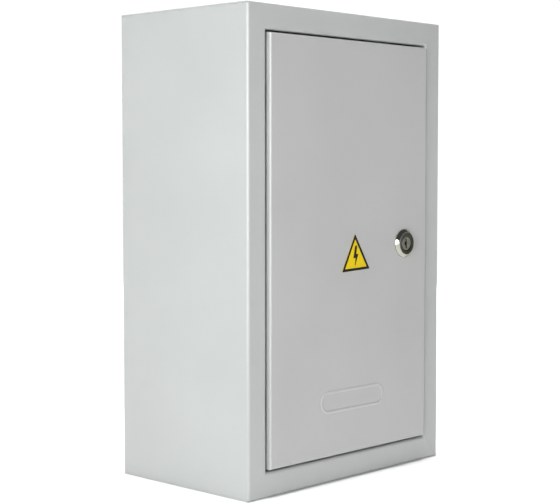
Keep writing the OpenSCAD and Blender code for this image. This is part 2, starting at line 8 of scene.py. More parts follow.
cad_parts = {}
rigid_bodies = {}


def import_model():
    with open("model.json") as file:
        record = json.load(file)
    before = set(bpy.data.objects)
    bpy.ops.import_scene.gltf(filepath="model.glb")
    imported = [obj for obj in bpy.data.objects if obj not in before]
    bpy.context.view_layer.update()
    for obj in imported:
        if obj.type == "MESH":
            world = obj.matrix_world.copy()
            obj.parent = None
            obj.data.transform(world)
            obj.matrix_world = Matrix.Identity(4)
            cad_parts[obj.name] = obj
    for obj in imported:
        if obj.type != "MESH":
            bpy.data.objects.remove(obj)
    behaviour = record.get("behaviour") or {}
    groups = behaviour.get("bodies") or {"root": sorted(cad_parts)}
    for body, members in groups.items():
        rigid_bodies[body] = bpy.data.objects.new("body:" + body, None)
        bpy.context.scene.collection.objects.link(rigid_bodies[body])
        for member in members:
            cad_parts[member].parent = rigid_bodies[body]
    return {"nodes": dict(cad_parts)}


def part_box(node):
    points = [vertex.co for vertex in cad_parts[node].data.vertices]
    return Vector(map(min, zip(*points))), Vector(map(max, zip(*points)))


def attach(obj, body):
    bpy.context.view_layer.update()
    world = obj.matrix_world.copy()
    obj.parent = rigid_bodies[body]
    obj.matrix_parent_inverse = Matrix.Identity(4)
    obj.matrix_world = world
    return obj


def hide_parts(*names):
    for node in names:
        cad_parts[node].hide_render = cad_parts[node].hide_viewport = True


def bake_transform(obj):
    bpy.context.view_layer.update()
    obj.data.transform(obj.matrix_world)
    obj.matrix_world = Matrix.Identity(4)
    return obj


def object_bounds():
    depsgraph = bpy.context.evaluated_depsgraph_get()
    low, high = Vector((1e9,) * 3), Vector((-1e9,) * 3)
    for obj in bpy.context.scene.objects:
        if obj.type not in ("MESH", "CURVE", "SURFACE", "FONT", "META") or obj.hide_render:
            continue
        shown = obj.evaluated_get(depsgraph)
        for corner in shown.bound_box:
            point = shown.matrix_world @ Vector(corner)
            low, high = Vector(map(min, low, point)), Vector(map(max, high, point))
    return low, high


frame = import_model()
cad_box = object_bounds()
nodes = frame["nodes"]

# ---- Body ----------------------------------------------------------------
# Left side, rear, right side and frame strips are one folded steel sheet. The
# top and bottom are folded ends, mitred and welded into it. All of it is
# sprayed with light grey powder, which leaves a fine orange peel.


def start_material(name):
    """An empty node material with its shader, and its own Object coordinates."""
    material = bpy.data.materials.new(name)
    material.use_nodes = True
    tree = material.node_tree
    shader = tree.nodes["Principled BSDF"]
    coords = tree.nodes.new("ShaderNodeTexCoord")
    return material, tree, shader, coords.outputs["Object"]


def add_noise(tree, coords, scale, detail=4.0, rough=0.5):
    """Noise of that many cells to the metre."""
    noise = tree.nodes.new("ShaderNodeTexNoise")
    noise.inputs["Scale"].default_value = scale
    noise.inputs["Detail"].default_value = detail
    noise.inputs["Roughness"].default_value = rough
    tree.links.new(coords, noise.inputs["Vector"])
    return noise.outputs["Fac"]


def spread(tree, value, low, high, from_low=0.3, from_high=0.7):
    """A noise value stretched to run from low to high."""
    span = tree.nodes.new("ShaderNodeMapRange")
    span.inputs["From Min"].default_value = from_low
    span.inputs["From Max"].default_value = from_high
    span.inputs["To Min"].default_value = low
    span.inputs["To Max"].default_value = high
    tree.links.new(value, span.inputs["Value"])
    return span.outputs["Result"]


def mix_colours(tree, factor, first, second):
    """One colour turning to another as the factor goes from 0 to 1."""
    mix = tree.nodes.new("ShaderNodeMix")
    mix.data_type = "RGBA"
    for socket, colour in ((mix.inputs[6], first), (mix.inputs[7], second)):
        if isinstance(colour, bpy.types.NodeSocket):
            tree.links.new(colour, socket)
        else:
            socket.default_value = (*colour, 1.0)
    tree.links.new(factor, mix.inputs[0])
    return mix.outputs[2]


def add_bump(tree, shader, heights):
    """Bumps laid over each other; each is (height, depth in metres)."""
    normal = None
    for height, depth in heights:
        bump = tree.nodes.new("ShaderNodeBump")
        bump.inputs["Strength"].default_value = 1.0
        bump.inputs["Distance"].default_value = depth
        tree.links.new(height, bump.inputs["Height"])
        if normal is not None:
            tree.links.new(normal, bump.inputs["Normal"])
        normal = bump.outputs["Normal"]
    tree.links.new(normal, shader.inputs["Normal"])


def powder_coat(name, colour, peel=900.0, thin=0.0):
    """Sprayed and baked polyester powder: clouded colour, fine specks and orange peel.
    On an edge the coat is thin, and the primer shows through by that much."""
    material, tree, shader, coords = start_material(name)
    cloud = spread(tree, add_noise(tree, coords, 9.0, 3.0), 0.0, 1.0)
    lighter = tuple(min(c * 1.03, 1.0) for c in colour)
    darker = tuple(c * 0.97 for c in colour)
    base = mix_colours(tree, cloud, darker, lighter)
    speck = spread(tree, add_noise(tree, coords, 2600.0, 2.0), 0.0, 1.0, from_low=0.62, from_high=0.8)
    fleck = tuple(c * 0.88 for c in colour)
    base = mix_colours(tree, speck, base, fleck)
    if thin:
        rubbed = add_noise(tree, coords, 210.0, 6.0, 0.65)
        worn = spread(tree, rubbed, 0.0, thin, from_low=0.5, from_high=0.62)
        base = mix_colours(tree, worn, base, tuple(c * 0.62 for c in colour))
    tree.links.new(base, shader.inputs["Base Color"])
    dull = spread(tree, add_noise(tree, coords, 240.0, 3.0), 0.285, 0.325)
    tree.links.new(dull, shader.inputs["Roughness"])
    shader.inputs["Specular IOR Level"].default_value = 0.5
    orange_peel = add_noise(tree, coords, peel, 2.0)
    waves = add_noise(tree, coords, 28.0, 1.0)
    add_bump(tree, shader, [(waves, 0.00006), (orange_peel, 0.000025)])
    return material


def select_only(piece):
    """Makes this the only selected and the active object."""
    bpy.ops.object.select_all(action="DESELECT")
    piece.select_set(True)
    bpy.context.view_layer.objects.active = piece


def apply_all(piece):
    """Applies every modifier of a piece, in order."""
    select_only(piece)
    for modifier in [m.name for m in piece.modifiers]:
        bpy.ops.object.modifier_apply(modifier=modifier)


def soften(piece, width, edge_material=False, angle=40.0, segments=2):
    """Breaks the sharp edges of a piece and shades it smooth between them."""
    bevel = piece.modifiers.new("edges", "BEVEL")
    bevel.width = width
    bevel.segments = segments
    bevel.limit_method = "ANGLE"
    bevel.angle_limit = math.radians(angle)
    bevel.miter_outer = "MITER_ARC"
    if edge_material:
        bevel.material = 1
    apply_all(piece)
    bpy.ops.object.shade_smooth_by_angle(angle=SMOOTH_ANGLE)
    weigh = piece.modifiers.new("shading", "WEIGHTED_NORMAL")
    weigh.keep_sharp = True
    apply_all(piece)


def coat(piece, materials):
    """Gives a piece its materials: the first all over, and the second for worn edges."""
    piece.data.materials.clear()
    for material in materials:
        piece.data.materials.append(material)
    for polygon in piece.data.polygons:
        polygon.material_index = 0


def fit_piece(piece, body, node):
    """Puts a piece on its body, in the place of the node that it stands for."""
    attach(piece, body)
    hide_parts(node)


def copy_node(name, piece_name):
    """A copy of a node with its triangles joined into flat faces."""
    piece = bpy.data.objects.new(piece_name, nodes[name].data.copy())
    bpy.context.scene.collection.objects.link(piece)
    select_only(piece)
    bpy.ops.object.mode_set(mode="EDIT")
    bpy.ops.mesh.select_all(action="SELECT")
    bpy.ops.mesh.remove_doubles(threshold=SAME_POINT)
    bpy.ops.mesh.customdata_custom_splitnormals_clear()
    bpy.ops.mesh.dissolve_limited(angle_limit=FLAT_ANGLE)
    bpy.ops.object.mode_set(mode="OBJECT")
    return piece


def dress_node(name, piece_name, slot, materials, width, **edges):
    """A node with broken edges and its finish, in the node's place and on its body."""
    piece = copy_node(name, piece_name)
    coat(piece, materials)
    soften(piece, width, edge_material=len(materials) > 1, **edges)
    body = nodes[name].parent.name.removeprefix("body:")
    fit_piece(piece, body, name)
    return piece


SAME_POINT = 0.000004
FLAT_ANGLE = math.radians(0.6)  # faces that meet flatter than this become one
SMOOTH_ANGLE = math.radians(50)  # sharper edges stay sharp in the shading
SHEET_BREAK = 0.00015
EDGE_WEAR = 0.6
BODY_GREY = (0.408, 0.417, 0.412)
body_paint = powder_coat("body_paint", BODY_GREY)
body_edge = powder_coat("body_edge", BODY_GREY, thin=EDGE_WEAR)
painted = [body_paint, body_edge]
dress_node("body_wrap", "body_sheet", "body_paint", painted, SHEET_BREAK)
dress_node("top_cap", "body_top", "body_paint", painted, SHEET_BREAK)
dress_node("bottom_cap", "body_bottom", "body_paint", painted, SHEET_BREAK)

# ---- Cable entry ---------------------------------------------------------
# A removable steel plate over the window in the bottom, painted as the body,
# on a foam rubber seal. Six zinc-plated screws hold it, and three moulded
# rubber rings are pushed into its holes.


def rubber(name, colour, bloom=0.35):
    """Moulded black rubber, with a little grey bloom and a fine moulded skin."""
    material, tree, shader, coords = start_material(name)
    dusty = tuple(c * 2.4 + 0.01 for c in colour)
    clouds = spread(tree, add_noise(tree, coords, 140.0, 6.0), 0.0, bloom, from_low=0.42)
    tree.links.new(mix_colours(tree, clouds, colour, dusty), shader.inputs["Base Color"])
    dull = spread(tree, add_noise(tree, coords, 420.0, 4.0), 0.55, 0.78)
    tree.links.new(dull, shader.inputs["Roughness"])
    skin = add_noise(tree, coords, 2200.0, 3.0)
    add_bump(tree, shader, [(skin, 0.00003)])
    return material


def stretch(tree, coords, scale):
    """Coordinates squeezed by a scale along each axis, for brushed or rolled grain."""
    mapping = tree.nodes.new("ShaderNodeMapping")
    mapping.inputs["Scale"].default_value = scale
    tree.links.new(coords, mapping.inputs["Vector"])
    return mapping.outputs["Vector"]


def plated(name, bright, dark, grain=(1.0, 1.0, 1.0), rough=(0.28, 0.42), tarnish=0.5):
    """Plated steel: brighter and duller patches, fine grain and small pits."""
    material, tree, shader, coords = start_material(name)
    patch = spread(tree, add_noise(tree, coords, 160.0, 5.0), 0.0, 1.0)
    base = mix_colours(tree, patch, bright, tuple((b + d) / 2 for b, d in zip(bright, dark)))
    drift = add_noise(tree, coords, 55.0, 7.0, 0.65)
    stain = spread(tree, drift, 0.0, tarnish, from_low=0.52, from_high=0.72)
    tree.links.new(mix_colours(tree, stain, base, dark), shader.inputs["Base Color"])
    shader.inputs["Metallic"].default_value = 1.0
    brushed = add_noise(tree, stretch(tree, coords, grain), 900.0, 3.0)
    tree.links.new(spread(tree, brushed, *rough), shader.inputs["Roughness"])
    pits = add_noise(tree, coords, 1900.0, 2.0)
    add_bump(tree, shader, [(brushed, 0.00002), (pits, 0.000015)])
    return material


black_rubber = rubber("black_rubber", (0.022, 0.022, 0.022))
foam_rubber = rubber("foam_rubber", (0.035, 0.035, 0.036), 0.6)
screw_zinc = plated("screw_zinc", (0.76, 0.77, 0.78), (0.46, 0.47, 0.46))
screw_edge = plated("screw_edge", (0.86, 0.86, 0.86), (0.55, 0.55, 0.54), rough=(0.18, 0.26))
zinc_finish = [screw_zinc, screw_edge]
dress_node("entry_plate", "entry_cover", "body_paint", painted, SHEET_BREAK)
dress_node("entry_seal", "entry_gasket", "black_rubber", [foam_rubber], 0.0003)
dress_node("entry_screws", "entry_plate_screws", "fastener", zinc_finish, 0.00018)
dress_node("entry_grommets", "cable_grommets", "black_rubber", [black_rubber], 0.0006, segments=3)

# ---- Mounting plate ------------------------------------------------------
# A hot-dip galvanised sheet with its crystal spangle. Four threaded studs,
# welded to the rear sheet, carry it on tube spacers, and zinc-plated
# washers and hexagon nuts clamp it.


def galvanised_sheet(name):
    """Hot-dip zinc: crystals a few millimetres across, each with its own tone."""
    material, tree, shader, coords = start_material(name)
    crystals = tree.nodes.new("ShaderNodeTexVoronoi")
    crystals.inputs["Scale"].default_value = 130.0
    bent = tree.nodes.new("ShaderNodeVectorMath")
    bent.operation = "MULTIPLY_ADD"
    wander = tree.nodes.new("ShaderNodeTexNoise")
    wander.inputs["Scale"].default_value = 300.0
    tree.links.new(coords, wander.inputs["Vector"])
    tree.links.new(wander.outputs["Color"], bent.inputs[0])
    bent.inputs[1].default_value = (0.006, 0.006, 0.006)
    tree.links.new(coords, bent.inputs[2])
    tree.links.new(bent.outputs["Vector"], crystals.inputs["Vector"])
    tone = tree.nodes.new("ShaderNodeSeparateColor")
    tree.links.new(crystals.outputs["Color"], tone.inputs["Color"])
    base = mix_colours(tree, tone.outputs["Red"], (0.56, 0.58, 0.60), (0.74, 0.76, 0.78))
    dust = spread(tree, add_noise(tree, coords, 24.0, 6.0), 0.0, 0.5, from_low=0.5, from_high=0.75)
    tree.links.new(mix_colours(tree, dust, base, (0.60, 0.60, 0.58)), shader.inputs["Base Color"])
    shader.inputs["Metallic"].default_value = 1.0
    dull = spread(tree, tone.outputs["Green"], 0.34, 0.52, from_low=0.0, from_high=1.0)
    tree.links.new(dull, shader.inputs["Roughness"])
    ripple = add_noise(tree, coords, 90.0, 3.0)
    add_bump(tree, shader, [(tone.outputs["Blue"], 0.000008), (ripple, 0.00006)])
    return material


def turn_piece(name, profile, sides, closed=False):
    """A turned piece about +Z: a ring of edges drawn out step by step along the
    profile of (radius, height). An open profile is capped at both ends, and a
    closed one comes back to its start."""
    bpy.ops.object.select_all(action="DESELECT")
    radius, height = profile[0]
    bpy.ops.mesh.primitive_circle_add(vertices=sides, radius=radius, location=(0.0, 0.0, height))
    piece = bpy.context.object
    piece.name = name
    bpy.ops.object.transform_apply(location=True, rotation=True, scale=True)
    bpy.ops.object.mode_set(mode="EDIT")
    bpy.ops.mesh.select_mode(type="EDGE")
    bpy.ops.mesh.select_all(action="SELECT")
    if not closed:
        bpy.ops.mesh.edge_face_add()
        bpy.ops.mesh.select_all(action="SELECT")
    path = profile[1:] + (profile[:1] if closed else [])
    for next_radius, next_height in path:
        rise = (0.0, 0.0, next_height - height)
        if closed:
            bpy.ops.mesh.extrude_edges_move(TRANSFORM_OT_translate={"value": rise})
        else:
            bpy.ops.mesh.extrude_region_move(TRANSFORM_OT_translate={"value": rise})
        ratio = next_radius / radius
        centre = (0.0, 0.0, next_height)
        bpy.ops.transform.resize(value=(ratio, ratio, 1.0), center_override=centre)
        radius, height = next_radius, next_height
    bpy.ops.mesh.select_all(action="SELECT")
    bpy.ops.mesh.remove_doubles(threshold=0.000002)
    bpy.ops.mesh.normals_make_consistent(inside=False)
    bpy.ops.object.mode_set(mode="OBJECT")
    return piece


def place_piece(piece, turn, place):
    """Turns a piece about the axes by degrees and moves it to its place."""
    angles = Euler([math.radians(degrees) for degrees in turn]).to_matrix().to_4x4()
    piece.data.transform(Matrix.Translation(place) @ angles)
    piece.data.update()


def thread_profile(core, crest, start, end, pitch):
    """Crests and roots of a thread along a stud, as (radius, height)."""
    count = round((end - start) / pitch)
    ridges = []
    for i in range(count):
        foot = start + i * pitch
        ridges += [(core, foot), (crest, foot + 0.4 * pitch), (crest, foot + 0.6 * pitch)]
    return ridges + [(core, end)]


def copy_piece(piece, name, shift):
    """A copy of a finished mesh, moved by a vector, with its own mesh."""
    twin = bpy.data.objects.new(name, piece.data.copy())
    bpy.context.scene.collection.objects.link(twin)
    twin.data.transform(Matrix.Translation(shift))
    return twin


def join_pieces(name, pieces):
    """Several meshes joined into one piece."""
    select_only(pieces[0])
    for piece in pieces[1:]:
        piece.select_set(True)
    bpy.ops.object.join()
    pieces[0].name = name
    return pieces[0]


zinc_sheet = galvanised_sheet("zinc_sheet")
cut_edge = plated("cut_edge", (0.52, 0.53, 0.54), (0.30, 0.28, 0.26), rough=(0.4, 0.55))
dress_node("mounting_plate", "plate", "galvanised", [zinc_sheet, cut_edge], 0.0002)

stud_steel = plated("stud_steel", (0.66, 0.67, 0.68), (0.36, 0.36, 0.35), rough=(0.3, 0.45))
STUD_CREST = 0.003
STUD_CORE = 0.0025
STUD_PITCH = 0.0008
STUD_SIDES = 32
STUD_TIP = STUD_CORE - 0.0003  # radius of the chamfered end
THREAD_BREAK = 0.00005
PLAIN_FOOT = 0.004  # length without thread at the weld
THREAD_END = 0.0004
studs_low, studs_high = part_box("plate_studs")
stud_length = studs_high.y - studs_low.y
threaded = stud_length - PLAIN_FOOT
stud_profile = [(STUD_TIP, 0.0)] + thread_profile(STUD_CORE, STUD_CREST, 0.0006, threaded, STUD_PITCH)
stud_profile += [(STUD_CREST, threaded + THREAD_END), (STUD_CREST, stud_length)]
first_stud = turn_piece("stud", stud_profile, STUD_SIDES)
corner = (studs_low.x + STUD_CREST, studs_low.y, studs_low.z + STUD_CREST)
place_piece(first_stud, (-90, 0, 0), corner)
across = studs_high.x - studs_low.x - 2 * STUD_CREST
up = studs_high.z - studs_low.z - 2 * STUD_CREST
shifts = ((across, 0, 0), (0, 0, up), (across, 0, up))
studs = join_pieces("weld_studs", [first_stud] + [copy_piece(first_stud, "stud", s) for s in shifts])
coat(studs, [stud_steel])
soften(studs, THREAD_BREAK, angle=70.0, segments=1)
fit_piece(studs, "enclosure", "plate_studs")

tube_zinc = plated("tube_zinc", (0.70, 0.71, 0.72), (0.42, 0.42, 0.41), (1.0, 0.1, 1.0))
dress_node("plate_spacers", "spacer_tubes", "zinc", [tube_zinc, screw_edge], 0.0003)
dress_node("plate_washers", "plate_flat_washers", "fastener", zinc_finish, 0.0002)
dress_node("plate_nuts", "plate_hexagon_nuts", "fastener", zinc_finish, 0.0004)

# ---- Device rails --------------------------------------------------------
# Two 35 mm top-hat rails, rolled from zinc-plated strip with oblong slots,
# each on two pan-head screws through the mounting plate.

rail_zinc = plated(
    "rail_zinc", (0.77, 0.78, 0.77), (0.52, 0.52, 0.47), (0.04, 1.0, 1.0), (0.29, 0.42), tarnish=0.35
)
dress_node("rails", "top_hat_rails", "zinc", [rail_zinc, screw_edge], 0.0001)
dress_node("rail_screws", "rail_pan_screws", "fastener", zinc_finish, 0.0002)

# ---- Neutral and earth bars ----------------------------------------------
# Drawn brass bars with clamp screws, each on two moulded nylon feet, blue
# for neutral and green for earth. The feet are screwed to the plate.


def moulded_nylon(name, colour):
    """Injection-moulded nylon: even colour, slight flow marks, a fine matt skin."""
    material, tree, shader, coords = start_material(name)
    drawn = stretch(tree, coords, (1.0, 1.0, 0.3))
    flow = spread(tree, add_noise(tree, drawn, 120.0, 3.0), 0.0, 1.0)
    lighter = tuple(c * 1.12 for c in colour)
    tree.links.new(mix_colours(tree, flow, colour, lighter), shader.inputs["Base Color"])
    dull = spread(tree, add_noise(tree, coords, 500.0, 3.0), 0.36, 0.50)
    tree.links.new(dull, shader.inputs["Roughness"])
    spark = add_noise(tree, coords, 3200.0, 2.0)
    add_bump(tree, shader, [(spark, 0.00002)])
    return material


blue_nylon = moulded_nylon("blue_nylon", (0.030, 0.110, 0.420))
green_nylon = moulded_nylon("green_nylon", (0.030, 0.250, 0.070))
bar_brass = plated(
    "bar_brass", (0.80, 0.60, 0.28), (0.50, 0.33, 0.13), grain=(0.05, 1.0, 1.0), rough=(0.29, 0.40)
)
brass_edge = plated("brass_edge", (0.90, 0.70, 0.36), (0.62, 0.43, 0.18), rough=(0.18, 0.26))
clamp_zinc = plated("clamp_zinc", (0.78, 0.74, 0.60), (0.52, 0.46, 0.32), rough=(0.29, 0.42))
dress_node("neutral_feet", "neutral_bar_feet", "blue_plastic", [blue_nylon], 0.0005, segments=3)
dress_node("earth_feet", "earth_bar_feet", "green_plastic", [green_nylon], 0.0005, segments=3)
dress_node("neutral_bar", "neutral_busbar", "brass", [bar_brass, brass_edge], 0.0003)
dress_node("earth_bar", "earth_busbar", "brass", [bar_brass, brass_edge], 0.0003)
dress_node("bar_screws", "clamp_screws", "fastener", [clamp_zinc, screw_edge], 0.00012)
dress_node("feet_screws", "feet_pan_screws", "fastener", zinc_finish, 0.00015)

# ---- Hinges --------------------------------------------------------------
# Goose-neck arms of folded steel, spot-welded to the left side sheet, carry
# a turned pin. Two-eared brackets welded inside the door turn on it.

hinge_steel = plated("hinge_steel", (0.64, 0.65, 0.65), (0.38, 0.38, 0.37), (1.0, 1.0, 0.15))
pin_steel = plated(
    "pin_steel", (0.70, 0.70, 0.70), (0.44, 0.43, 0.42), (1.0, 1.0, 0.05), (0.18, 0.26), tarnish=0.3
)
dress_node("frame_hinges", "hinge_arms", "zinc", [hinge_steel, screw_edge], 0.00025)
dress_node("door_hinges", "hinge_brackets", "zinc", [hinge_steel, screw_edge], 0.0002)
dress_node("hinge_pins", "hinge_axle_pins", "zinc", [pin_steel], 0.0005, segments=3)

# ---- Door stops ----------------------------------------------------------
# Small steel angles welded behind the frame lip at top and bottom, with
# rubber pads where the folded edge of the shut door comes to rest.

dress_node("door_stops", "stop_angles", "zinc", painted, SHEET_BREAK)
dress_node("stop_pads", "stop_rubber_pads", "black_rubber", [black_rubber], 0.0006, segments=3)

# ---- Door ----------------------------------------------------------------
# A shallow pan folded from the same sheet as the body, with round front
# edges, a punched lock hole, cut-outs for the hinge arms, and an oblong bead
# pressed outwards low down. It is powder coated on its own, a touch warmer.

SHEET = 0.0012
DOOR_ROUND = 0.002
BEAD_SIZE = (0.084, 0.020)  # the oblong, over its outside
BEAD_PLACE = (0.0002, -0.130)
BEAD_RIB = 0.0032
BEAD_ROUND = 0.0022  # radius of the ring that forms the bead
BEAD_RISE = 0.00068  # from the flat face to the crest of the bead
BEAD_ROOM = 0.0007  # from the flat face to the front of the node's box
HOLLOW_ROUND = 0.62 * BEAD_ROUND
HOLLOW_SUNK = 0.0004  # from the back of the sheet to the hollow's centre line
LOCK_HOLE = 0.0081  # radius
PUNCH_DEPTH = 0.01
HALF_PIN = 0.0148
NOTCH_SIZE = (0.005, 0.02, 0.03)
NOTCH_REACH = 0.004  # inwards from the edge of the door
NOTCH_SET_BACK = 0.001  # from the hinge axis to the front of the cut-out


def add_block(name, centre, size):
    """A block of that size about its centre."""
    bpy.ops.object.select_all(action="DESELECT")
    bpy.ops.mesh.primitive_cube_add(size=1.0, location=centre)
    block = bpy.context.object
    block.name = name
    block.scale = size
    bpy.ops.object.transform_apply(location=True, rotation=True, scale=True)
    return block


def cut_away(piece, tool, operation="DIFFERENCE"):
    """Cuts a tool out of a piece, or joins it on, and removes the tool."""
    join = piece.modifiers.new("cut", "BOOLEAN")
    join.operation = operation
    join.solver = "EXACT"
    join.object = tool
    apply_all(piece)
    bpy.data.objects.remove(tool)


def oblong_ring(radius, depth):
    """A closed round bead along the oblong, with its centre line at that depth."""
    bend = BEAD_SIZE[1] / 2 - BEAD_RIB / 2
    bpy.ops.object.select_all(action="DESELECT")
    bpy.ops.mesh.primitive_torus_add(
        major_radius=bend,
        minor_radius=radius,
        major_segments=48,
        minor_segments=20,
        rotation=(math.pi / 2, 0.0, 0.0),
    )
    ring = bpy.context.object
    bpy.ops.object.transform_apply(location=True, rotation=True, scale=True)
    half = (BEAD_SIZE[0] - BEAD_SIZE[1]) / 2
    for vertex in ring.data.vertices:
        if abs(vertex.co.x) > 0.0001:
            vertex.co.x += math.copysign(half, vertex.co.x)
    ring.data.transform(Matrix.Translation((BEAD_PLACE[0], depth, BEAD_PLACE[1])))
    return ring


# The pan: a block without its back, its front edges rounded, then given a wall
door_low, door_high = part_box("door_panel")
face_y = door_low.y + BEAD_ROOM
door_middle = (door_low + door_high) / 2
door_middle.y = (face_y + door_high.y) / 2
door_size = (door_high.x - door_low.x, door_high.y - face_y, door_high.z - door_low.z)
door = add_block("door_skin", door_middle, door_size)
bpy.ops.object.mode_set(mode="EDIT")
bpy.ops.mesh.select_mode(type="FACE")
bpy.ops.mesh.select_all(action="DESELECT")
skin = bmesh.from_edit_mesh(door.data)
for face in skin.faces:
    face.select = face.normal.y > 0.9
bmesh.update_edit_mesh(door.data)
bpy.ops.mesh.delete(type="FACE")
bpy.ops.mesh.select_mode(type="EDGE")
bpy.ops.mesh.select_all(action="DESELECT")
skin = bmesh.from_edit_mesh(door.data)
for edge in skin.edges:
    edge.select = all(v.co.y < face_y + 0.0001 for v in edge.verts)
skin.select_flush(True)
bmesh.update_edit_mesh(door.data)
bpy.ops.mesh.bevel(offset=DOOR_ROUND, segments=8, profile=0.5, affect="EDGES")
bpy.ops.object.mode_set(mode="OBJECT")
wall = door.modifiers.new("wall", "SOLIDIFY")
wall.thickness = SHEET
wall.offset = -1.0
wall.use_even_offset = True
apply_all(door)

# The lock hole, and a cut-out in the folded edge for each hinge arm
lock_low, lock_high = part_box("lock_housing")
lock_x = (lock_low.x + lock_high.x) / 2
lock_z = (lock_low.z + lock_high.z) / 2
bpy.ops.object.select_all(action="DESELECT")
bpy.ops.mesh.primitive_cylinder_add(
    vertices=64,
    radius=LOCK_HOLE,
    depth=PUNCH_DEPTH,
    location=(lock_x, face_y, lock_z),
    rotation=(math.pi / 2, 0.0, 0.0),
)
cut_away(door, bpy.context.object)
pin_low, pin_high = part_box("hinge_pins")
pin_z = pin_high.z - HALF_PIN
notch_x = door_low.x + NOTCH_REACH - NOTCH_SIZE[0] / 2
notch_y = (pin_low.y + pin_high.y) / 2 + NOTCH_SET_BACK + NOTCH_SIZE[1] / 2
for z in (pin_z, -pin_z):
    cut_away(door, add_block("notch", (notch_x, notch_y, z), NOTCH_SIZE))

# The bead: a ring stretched to an oblong and sunk in the face, hollow behind
cut_away(door, oblong_ring(BEAD_ROUND, face_y + BEAD_ROUND - BEAD_RISE), "UNION")
cut_away(door, oblong_ring(HOLLOW_ROUND, face_y + SHEET + HOLLOW_SUNK))
DOOR_GREY = (0.404, 0.406, 0.403)
door_paint = powder_coat("door_paint", DOOR_GREY)
door_edge = powder_coat("door_edge", DOOR_GREY, thin=EDGE_WEAR)
coat(door, [door_paint, door_edge])
soften(door, 0.00012, edge_material=True, angle=50.0)
fit_piece(door, "door", "door_panel")

# ---- Lock ----------------------------------------------------------------
# A quarter-turn cam lock. Its zinc die-cast housing is chrome plated, with a
# threaded barrel through the door, and a hexagon nut clamps it from inside.
# The plug with the key way is dark polished steel, and a steel cam sits behind. The flat face round
# the plug is dark: partly its own burnished finish, partly painted dark reflection.


def polished(name, colour, rough=(0.05, 0.10), marks=0.15):
    """Polished and plated metal, with faint wipe marks."""
    material, tree, shader, coords = start_material(name)
    cloud = spread(tree, add_noise(tree, coords, 260.0, 4.0), 0.0, 1.0)
    dim = tuple(c * (1.0 - marks) for c in colour)
    tree.links.new(mix_colours(tree, cloud, colour, dim), shader.inputs["Base Color"])
    shader.inputs["Metallic"].default_value = 1.0
    wipes = add_noise(tree, stretch(tree, coords, (0.3, 1.0, 1.0)), 1400.0, 3.0)
    tree.links.new(spread(tree, wipes, *rough), shader.inputs["Roughness"])
    add_bump(tree, shader, [(add_noise(tree, coords, 500.0, 2.0), 0.000012)])
    return material


chrome = polished("chrome", (0.43, 0.43, 0.37))
# The dark of this face material is partly a real burnished finish and partly painted dark reflection
# of the dim room around the lock.
burnished = polished("burnished", (0.050, 0.050, 0.036), (0.18, 0.26), 0.35)

BORE = 0.00605
BARREL = 0.008
THREAD_DEEP = 0.0005
THREAD_PITCH = 0.001
NOSE_INSET = 0.0022  # how much smaller the nose is than the bezel, in radius
RING_EDGE = 0.0008  # the burnished face ends this far inside the nose and behind it
bezel = (lock_high.x - lock_low.x) / 2
nose = bezel - NOSE_INSET
tall = face_y - lock_low.y
barrel_end = lock_high.y - face_y

# From the mouth of the bore out over the nose, down the cone, in under the
# bezel and along the threaded barrel to its rear end, as (radius, height)
case_profile = [(BORE, tall - 0.0009), (BORE + 0.0009, tall - 0.0002), (nose - 0.0011, tall - 0.0002)]
case_profile += [(nose - 0.0007, tall), (nose - 0.0003, tall - 0.0001), (nose, tall - 0.0005)]
case_profile += [(bezel - 0.0004, 0.0012), (bezel, 0.0006), (bezel, 0.0)]
case_profile += [(BARREL, 0.0), (BARREL, -0.0012)]
ridges = thread_profile(BARREL - THREAD_DEEP, BARREL, 0.0014, barrel_end - 0.001, THREAD_PITCH)
case_profile += [(radius, -height) for radius, height in ridges]
case_profile += [(BORE + 0.0006, -barrel_end), (BORE, -barrel_end + 0.0006)]
housing = turn_piece("lock_case", case_profile, 72, closed=True)
place_piece(housing, (90, 0, 0), (lock_x, face_y, lock_z))
coat(housing, [chrome, burnished])
# The flat front face inside the nose gets the dark face material: partly burnished, partly painted
# dark reflection.
for polygon in housing.data.polygons:
    spot = polygon.center
    radius = math.hypot(spot.x - lock_x, spot.z - lock_z)
    if spot.y < face_y - tall + RING_EDGE and radius < nose - RING_EDGE:
        polygon.material_index = 1
soften(housing, 0.00006, angle=60.0)
fit_piece(housing, "door", "lock_housing")

dress_node("lock_nut", "lock_hexagon_nut", "fastener", [clamp_zinc, screw_edge], 0.0005)
plug_steel = polished("plug_steel", (0.20, 0.195, 0.165), (0.16, 0.26), 0.4)
dress_node("lock_plug", "lock_cylinder_plug", "lock_steel", [plug_steel], 0.00025, segments=2)
dress_node("lock_cam", "lock_cam_plate", "fastener", [clamp_zinc, screw_edge], 0.0003)
dress_node("cam_washer", "cam_spring_washer", "fastener", zinc_finish, 0.0002)
dress_node("cam_screw", "cam_fixing_screw", "fastener", zinc_finish, 0.0002)

# ---- Warning sign --------------------------------------------------------
# A self-adhesive vinyl triangle, printed black on yellow and laid on by hand.
# The mark is a plain zigzag.


def vinyl(name, colour, deeper):
    """Printed vinyl: a smooth satin film with faint print mottle."""
    material, tree, shader, coords = start_material(name)
    mottle = spread(tree, add_noise(tree, coords, 700.0, 4.0), 0.0, 1.0)
    tree.links.new(mix_colours(tree, mottle, colour, deeper), shader.inputs["Base Color"])
    dull = spread(tree, add_noise(tree, coords, 90.0, 3.0), 0.38, 0.50)
    tree.links.new(dull, shader.inputs["Roughness"])
    shader.inputs["Specular IOR Level"].default_value = 0.12
    add_bump(tree, shader, [(add_noise(tree, coords, 1500.0, 2.0), 0.000008)])
    return material


